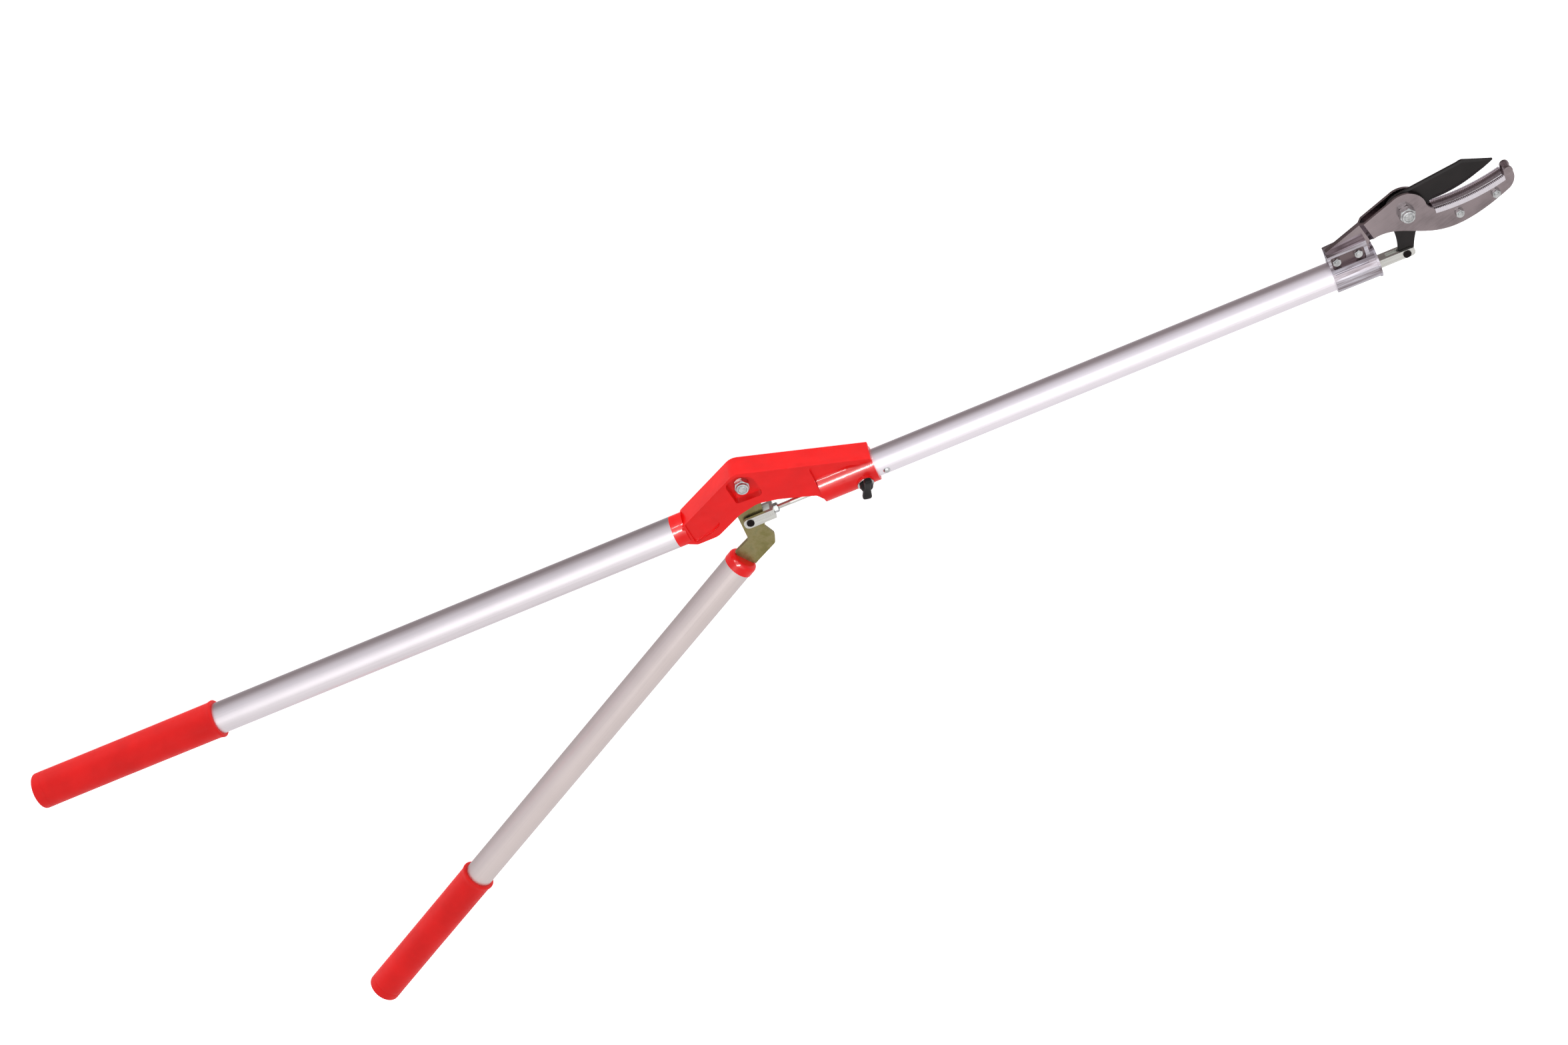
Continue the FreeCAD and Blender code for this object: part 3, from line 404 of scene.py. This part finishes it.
def lever_matrix(distance):
    """Matrix whose X axis runs up the lever, set at a distance back from the pivot's foot."""
    direction = Vector((math.cos(LEVER_ANGLE), math.sin(LEVER_ANGLE), 0))
    side = Vector((-direction.y, direction.x, 0))
    foot = place(0, PIVOT_Y) - side * (LEVER_OFFSET * MM) - direction * (distance * MM)
    return Matrix.Translation(foot) @ Matrix.Rotation(LEVER_ANGLE, 4, "Z")


# ---- grips --------------------------------------------------------------------------------------
def grip_piece(name, node, body, r, length, matrix):
    """Dipped vinyl sleeve: rounded closed end, a shallow ring near it, side seams and a rolled rim."""
    outer = r + GRIP_WALL
    rings = [(0.0, 0.0), (0.0, outer - 4.2), (0.06, outer - 2.6)]
    rings += [(2.4 - 2.4 * math.cos(t), outer - 2.4 + 2.4 * math.sin(t))
              for t in (0.35, 0.7, 1.05, 1.35, math.pi / 2)]
    rings += [(9.0, outer), (9.6, outer - 0.35), (10.4, outer - 0.35), (11.0, outer)]
    steps = 40
    for i in range(steps + 1):
        at = i / steps
        rings.append((14.0 + at * (length - 21.0), outer - 0.12 * math.sin(math.pi * at)))
    rings += [(length - 5.0, outer), (length - 3.2, outer + 0.45), (length - 1.6, outer + 0.8),
              (length - 0.7, outer + 0.72), (length - 0.15, outer + 0.3), (length, outer - 0.3),
              (length, r + 0.05), (3.0, r + 0.05), (3.0, 0.0)]

    def radius(x, reach, angle):
        if reach < outer - 0.3 or x < 12.0 or x > length - 7.0:
            return reach
        near_seam = max(abs(math.cos(angle)) - 0.985, 0.0) / 0.015
        wave = noise.noise(Vector((x * 0.06, 3 * math.cos(angle), 3 * math.sin(angle)))) * 0.05
        return reach - 0.08 + wave + 0.14 * near_seam

    add_piece(name, spun(rings, 96, radius, matrix), body, node, 50.0)


grip_piece("rear_grip_sleeve", "rear_grip", "frame", REAR_R, REAR_GRIP_LENGTH,
           Matrix.Translation(place(REAR_GRIP_X, REAR_Y)))
grip_piece("lever_grip_sleeve", "lever_grip", "lever", LEVER_R, LEVER_GRIP_LENGTH,
           lever_matrix(LEVER_GRIP_END))


# ---- pull rod -----------------------------------------------------------------------------------
def pull_rod_piece():
    """Drawn rod with a rolled thread at each end, where the clevises and their nuts sit."""
    start, end = 11.6, 594.9
    rear_run, front_run = 32.0, 566.0   # where the rear thread ends and the front thread starts
    pitch, depth, step = 0.8, 0.42, 0.2
    shank, root = ROD_R - 0.01, 1.9

    def radius(x, reach, angle):
        threaded = x < rear_run or x > front_run
        if reach < 2.0 or not threaded:
            return reach
        fade = min(1.0, abs(x - rear_run) / 2.0, abs(x - front_run) / 2.0)
        phase = (x / pitch - angle / (2 * math.pi)) % 1.0
        return reach - depth * fade * (1.0 - abs(2.0 * phase - 1.0))

    xs = [start + i * step for i in range(int((rear_run - start) / step) + 1)]
    xs += [rear_run + i * 18.0 for i in range(1, 30)]
    xs += [front_run + i * step for i in range(int((end - front_run) / step) + 1)]
    rings = [(start - 0.1, 0.0), (start - 0.1, root)]
    rings += [(x, shank) for x in xs] + [(end, root), (end, 0.0)]
    matrix = Matrix.Translation(place(0, ROD_Y))
    add_piece("pull_rod_threaded", spun(rings, 28, radius, matrix), "rod", "pull_rod", 40.0)


pull_rod_piece()


# ---- wing knob ----------------------------------------------------------------------------------
def knob_piece():
    """Moulded wing on a round hub: a broad rounded end, a waist and a narrower tapered end."""
    turn = Matrix.Rotation(CLAMP_LEAN, 4, "X") @ Matrix.Rotation(WING_TURN, 4, "Z")
    matrix = Matrix.Translation(place(CLAMP_X, 0)) @ turn
    base = CLAMP_SEAT + 1.4
    bm = bmesh.new()
    stations, around = 28, 24
    loops = []
    for i in range(stations + 1):
        w = -1.0 + 2.0 * i / stations
        round_off = max(1.0 - abs(w) ** 14, 0.0) ** 0.5
        half = (3.7 - 0.55 * w - 0.35 * math.cos(math.pi * w)) * (0.55 + 0.45 * round_off)
        low = base + 0.6 + 1.4 * w * w
        top = base + 7.1 - 1.3 * (1.0 - round_off) - 0.7 * math.cos(math.pi * w * 0.9) * 0.5
        middle, tall = (low + top) / 2, (top - low) / 2 * (0.6 + 0.4 * round_off)
        loop = []
        for k in range(around):
            angle = 2 * math.pi * k / around
            c, d = math.cos(angle), math.sin(angle)
            u = math.copysign(abs(c) ** 0.62, c) * half
            v = math.copysign(abs(d) ** 0.62, d) * tall + middle
            loop.append(bm.verts.new(matrix @ (Vector((u, WING_HALF_SPAN * w, v)) * MM)))
        loops.append(loop)
    for a, b in zip(loops, loops[1:]):
        for k in range(around):
            bm.faces.new([a[k], a[(k + 1) % around], b[(k + 1) % around], b[k]])
    bm.faces.new(loops[0])
    bm.faces.new(loops[-1])
    hub = [(base + 3.7, 0.0), (base + 3.7, 3.05), (base, 3.05), (base, 5.6), (base + 0.4, 6.0),
           (base + 2.4, 6.0), (base + 4.2, 5.4), (base + 5.0, 4.4), (base + 5.0, 0.0)]
    upright = matrix @ Matrix.Rotation(-math.pi / 2, 4, "Y")
    hub_mesh = bpy.data.meshes.new("hub")
    hub_bm = spun(hub, 36, lambda x, r, angle: r, upright)
    hub_bm.to_mesh(hub_mesh)
    hub_bm.free()
    bm.from_mesh(hub_mesh)
    bpy.data.meshes.remove(hub_mesh)
    add_piece("wing_knob_moulding", bm, "clamp", "wing_knob", 45.0)


knob_piece()


# ---- blade --------------------------------------------------------------------------------------
def boundary_loops(bm, level):
    """Closed loops of points around the flat faces that lie at one height."""
    flat = {f for f in bm.faces if all(abs(v.co.z - level) < 1e-5 for v in f.verts)}
    ahead = {}
    for face in flat:
        for loop in face.loops:
            if sum(f in flat for f in loop.edge.link_faces) == 1:
                ahead[loop.vert] = loop.link_loop_next.vert
    found = []
    while ahead:
        start = next(iter(ahead))
        chain, here = [], start
        while here in ahead:
            chain.append(here.co.copy())
            here = ahead.pop(here)
        found.append(chain)
    return found


def resampled(points, step):
    """The closed outline again, with its points about a step apart."""
    made = []
    for a, b in zip(points, points[1:] + points[:1]):
        parts = max(1, round((b - a).length / step))
        made += [a.lerp(b, k / parts) for k in range(parts)]
    return made


def hole_of(edge, holes):
    """Index of the hole whose rim an edge lies on."""
    middle = (edge.verts[0].co + edge.verts[1].co) / 2
    gaps = [min(math.hypot(p.x - middle.x, p.y - middle.y) for p in chain) for chain in holes]
    return gaps.index(min(gaps))


def ground_edges(u, v, from_tip):
    """Width and drop of the near face's bevel, then the far face's chamfer, all in mm, for a point
    of the outline at (u, v) from the blade pivot."""
    edge_line = -2.0 + (u - 23.0) * 15.9 / 60.2
    if u > 22.0 and v < edge_line + 0.06:       # the cutting edge lies on the line's lower side
        return min(4.6, 0.25 + 0.24 * from_tip), min(2.3, 0.3 + 0.11 * from_tip), 0.0
    if u > -2.0 and v > edge_line:              # the spine
        return (min(1.9, 0.25 + 0.10 * from_tip), min(0.8, 0.2 + 0.05 * from_tip),
                min(0.3, 0.05 + 0.02 * from_tip))
    return 0.3, 0.3, 0.3                        # the heel and the tang


def blade_piece():
    """Forged blade: a long ground bevel to the cutting edge and a chamfer along the spine."""
    bm = cad_mesh("blade")
    half = BLADE_HALF * MM
    loops = boundary_loops(bm, half)
    bm.free()
    loops.sort(key=lambda chain: max(p.x for p in chain) - min(p.x for p in chain), reverse=True)
    outer = resampled(loops[0], 1.6 * MM)
    pivot = place(PIVOT_SPAN, PIVOT_Y)
    area = sum(a.x * b.y - b.x * a.y for a, b in zip(outer, outer[1:] + outer[:1]))
    if area < 0:
        outer.reverse()
    tip = max(outer, key=lambda p: (p - pivot).x)
    profile = []
    for point in outer:
        u, v = (point.x - pivot.x) / MM, (point.y - pivot.y) / MM
        from_tip = (Vector((point.x, point.y)) - Vector((tip.x, tip.y))).length / MM
        profile.append(ground_edges(u, v, from_tip))
    widths, drops, lifts = (list(values) for values in zip(*profile))
    count = len(outer)
    for _ in range(3):          # smooths the steps between edge, spine and heel
        for values in (widths, drops, lifts):
            values[:] = [(values[i - 1] + 2 * values[i] + values[(i + 1) % count]) / 4
                         for i in range(count)]
    made = bmesh.new()
    inner_ring, top_ring, low_ring, floor_ring = [], [], [], []
    for i, point in enumerate(outer):
        run = outer[(i + 1) % count] - outer[i - 1]
        inward = Vector((-run.y, run.x, 0)).normalized()
        flat = Vector((point.x, point.y, 0))
        inner_ring.append(made.verts.new(flat + inward * widths[i] * MM + Vector((0, 0, half))))
        top_ring.append(made.verts.new(flat + Vector((0, 0, half - drops[i] * MM))))
        low_ring.append(made.verts.new(flat + Vector((0, 0, -half + lifts[i] * MM))))
        floor_ring.append(made.verts.new(flat + inward * (lifts[i] + 0.02) * MM + Vector((0, 0, -half))))
    for a, b in ((inner_ring, top_ring), (top_ring, low_ring), (low_ring, floor_ring)):
        for i in range(count):
            k = (i + 1) % count
            made.faces.new([a[i], a[k], b[k], b[i]])
    holes = [resampled(chain, 0.8 * MM) for chain in loops[1:]]
    for ring, level in ((inner_ring, half), (floor_ring, -half)):
        edges = [made.edges.get((ring[i], ring[(i + 1) % count])) for i in range(count)]
        for chain in holes:
            rim = [made.verts.new(Vector((p.x, p.y, level))) for p in chain]
            edges += [made.edges.new((rim[i], rim[(i + 1) % len(rim)])) for i in range(len(rim))]
        bmesh.ops.triangle_fill(made, edges=edges, use_beauty=True, use_dissolve=False)
    open_rims = [e for e in made.edges if len(e.link_faces) == 1]
    for hole in range(len(holes)):
        bmesh.ops.bridge_loops(made, edges=[e for e in open_rims if hole_of(e, holes) == hole])
    add_piece("blade_ground", made, "blade", "blade", 18.0)


blade_piece()


# ---- jaw channel --------------------------------------------------------------------------------
def arc_through(a, b, c, count):
    """Points (x, y) along the circle through three points, from the first to the last."""
    d = 2 * (a[0] * (b[1] - c[1]) + b[0] * (c[1] - a[1]) + c[0] * (a[1] - b[1]))
    sq = [p[0] ** 2 + p[1] ** 2 for p in (a, b, c)]
    cx = (sq[0] * (b[1] - c[1]) + sq[1] * (c[1] - a[1]) + sq[2] * (a[1] - b[1])) / d
    cy = (sq[0] * (c[0] - b[0]) + sq[1] * (a[0] - c[0]) + sq[2] * (b[0] - a[0])) / d
    r = math.hypot(a[0] - cx, a[1] - cy)
    t0, t1 = math.atan2(a[1] - cy, a[0] - cx), math.atan2(c[1] - cy, c[0] - cx)
    return [(cx + r * math.cos(t0 + (t1 - t0) * i / count), cy + r * math.sin(t0 + (t1 - t0) * i / count))
            for i in range(count + 1)]


def channel_piece():
    """Polished trough between the side plates, with the holes that the jaw screws pass through."""
    a, c = Vector((JAW_X0, JAW_Y0)), Vector((JAW_X1, JAW_Y1))
    chord = c - a
    sag = JAW_R - math.sqrt(JAW_R ** 2 - (chord.length / 2) ** 2)
    middle = (a + c) / 2 + Vector((chord.y, -chord.x)).normalized() * sag
    steps, columns = 48, 16
    half, lip, hollow, hole_r = 3.78, 3.3, 4.2, 2.02
    top = arc_through(a, middle, c, steps)
    floor = arc_through(*JAW_FLOOR, steps)
    bm = bmesh.new()
    rows = []
    for (x, y), (fx, fy) in zip(top, floor):
        row = []
        for k in range(columns + 1):
            z = -half + 2 * half * k / columns
            depth = lip + hollow * math.sqrt(max(0.0, 1 - (z / (half + 0.01)) ** 2))
            row.append(bm.verts.new(place(x, y - depth, z)))
        row.append(bm.verts.new(place(fx, fy, half)))
        row.append(bm.verts.new(place(fx, fy, -half)))
        rows.append(row)
    width = columns + 3
    for one, two in zip(rows, rows[1:]):
        for k in range(width):
            m = (k + 1) % width
            bm.faces.new([one[k], one[m], two[m], two[k]])
    bm.faces.new(rows[0])
    bm.faces.new(rows[-1])
    bmesh.ops.triangulate(bm, faces=[f for f in bm.faces if len(f.verts) > 4])
    piece = add_piece("jaw_channel", bm, "frame", "jaw_core", 50.0)

    drill_bm = bmesh.new()
    for x, y in JAW_SCREWS:
        bmesh.ops.create_cone(drill_bm, cap_ends=True, segments=40, radius1=hole_r * MM,
                              radius2=hole_r * MM, depth=0.02, matrix=Matrix.Translation(place(x, y)))
    drill_mesh = bpy.data.meshes.new("drill")
    drill_bm.to_mesh(drill_mesh)
    drill_bm.free()
    drill = in_scene("drill", drill_mesh)
    cut = piece.modifiers.new("screw_holes", "BOOLEAN")
    cut.operation, cut.solver, cut.object = "DIFFERENCE", "EXACT", drill
    ready = piece.evaluated_get(bpy.context.evaluated_depsgraph_get())
    drilled = bpy.data.meshes.new_from_object(ready)
    piece.modifiers.clear()
    piece.data = drilled
    bpy.data.objects.remove(drill)
    bpy.data.meshes.remove(drill_mesh)


channel_piece()


# ---- CAD shapes with broken edges ---------------------------------------------------------------
for soft_name, soft_node, soft_body, soft_width in (
        ("housing_shell", "housing", "frame", 0.9),
        ("collar_casting", "head_collar", "frame", 0.35),
        ("plate_near_stamping", "side_plate_near", "frame", 0.3),
        ("plate_far_stamping", "side_plate_far", "frame", 0.3),
        ("lever_plate_stamping", "lever_plate", "lever", 0.25),
        ("rear_clevis_body", "rear_clevis", "rod", 0.3),
        ("front_clevis_body", "front_clevis", "rod", 0.35),
        ("pivot_nut_forged", "pivot_nut", "frame", 0.22),
        ("pivot_bolt_forged", "pivot_bolt", "frame", 0.22),
        ("blade_pivot_nut_forged", "blade_pivot_nut", "frame", 0.22),
        ("blade_pivot_bolt_forged", "blade_pivot_bolt", "frame", 0.22),
        ("collar_nuts_forged", "collar_nuts", "frame", 0.2),
        ("collar_bolts_forged", "collar_bolts", "frame", 0.2),
        ("jaw_nuts_forged", "jaw_nuts", "frame", 0.2),
        ("jaw_screws_forged", "jaw_screws", "frame", 0.2),
        ("rear_lock_nut_forged", "rear_lock_nut", "rod", 0.2),
        ("front_lock_nut_forged", "front_lock_nut", "rod", 0.2),
        ("clamp_washer_pressed", "clamp_washer", "clamp", 0.2)):
    softened(soft_name, soft_node, soft_body, soft_width)


# ---- floor and light ----------------------------------------------------------------------------
def make_floor():
    """Pale floor just under the object, which reflections don't see."""
    low = CAD_BOX[0].z
    bm = bmesh.new()
    bmesh.ops.create_grid(bm, x_segments=8, y_segments=8, size=14.0)
    mesh = bpy.data.meshes.new("floor")
    bm.to_mesh(mesh)
    bm.free()
    floor = in_scene("floor", mesh)
    floor.location = (0.25, 0.0, low - 0.0005)
    s = Shader("pale_floor")
    s.set(Roughness=0.9, Emission_Color=(1, 1, 1, 1), Emission_Strength=0.85)
    mesh.materials.append(s.finish(s.ramp(s.noise(3.0), [(0.3, (0.93, 0.93, 0.93)),
                                                         (0.7, (0.95, 0.95, 0.95))])))
    floor.visible_glossy = False


def make_world():
    """Bright, even surround that turns dark only from below, on the camera's side."""
    world = bpy.data.worlds.new("studio")
    bpy.context.scene.world = world
    world.use_nodes = True
    tree = world.node_tree
    tree.nodes.clear()
    output = tree.nodes.new("ShaderNodeOutputWorld")
    background = tree.nodes.new("ShaderNodeBackground")
    coords = tree.nodes.new("ShaderNodeTexCoord")
    facing = tree.nodes.new("ShaderNodeVectorMath")
    facing.operation = "DOT_PRODUCT"
    facing.inputs[1].default_value = (0.0, -0.6, 0.8)
    ramp = tree.nodes.new("ShaderNodeValToRGB")
    shift = tree.nodes.new("ShaderNodeMapRange")
    shift.inputs["From Min"].default_value = -1.0
    tree.links.new(coords.outputs["Generated"], facing.inputs[0])
    tree.links.new(facing.outputs["Value"], shift.inputs["Value"])
    tree.links.new(shift.outputs["Result"], ramp.inputs["Fac"])
    fill_ramp(ramp.color_ramp, [(0.0, (0.26, 0.22, 0.22)), (0.06, (0.34, 0.29, 0.29)),
                                (0.17, (0.72, 0.68, 0.70)), (0.38, (0.93, 0.91, 0.95)),
                                (1.0, (1.0, 0.97, 0.97))])
    background.inputs["Strength"].default_value = 0.80
    tree.links.new(ramp.outputs["Color"], background.inputs["Color"])
    tree.links.new(background.outputs["Background"], output.inputs["Surface"])


def softbox(name, at, target, size, power):
    """White rectangular light at a point, turned to a target."""
    data = bpy.data.lights.new(name, "AREA")
    data.shape = "RECTANGLE"
    data.size, data.size_y = size
    data.energy = power
    light = in_scene(name, data)
    light.location = at
    direction = Vector(target) - Vector(at)
    light.rotation_euler = direction.to_track_quat("-Z", "Y").to_euler()
    return light


make_floor()
make_world()
softbox("key", (0.3, 0.7, 2.7), (0.1, 0.0, 0.0), (4.0, 2.6), 27.0)
# Two strip lights give the glossy red parts their highlights, and light nothing else.
glossy_parts = bpy.data.collections.new("glossy_red_parts")
for glossy_name in ("housing_shell", "lever_cap"):
    glossy_parts.objects.link(bpy.data.objects[glossy_name])
for strip_name, strip_at, strip_width, strip_power in (
        ("strip_high", (-0.22, 0.80, 1.37), 0.30, 130.0),
        ("strip_low", (-0.22, 1.46, 0.61), 0.08, 36.0)):
    strip = softbox(strip_name, strip_at, (-0.028, 0.0, 0.0), (2.0, strip_width), strip_power)
    strip.visible_diffuse = False
    strip.light_linking.receiver_collection = glossy_parts

view = bpy.context.scene.view_settings
view.view_transform = "Standard"
view.look = "None"
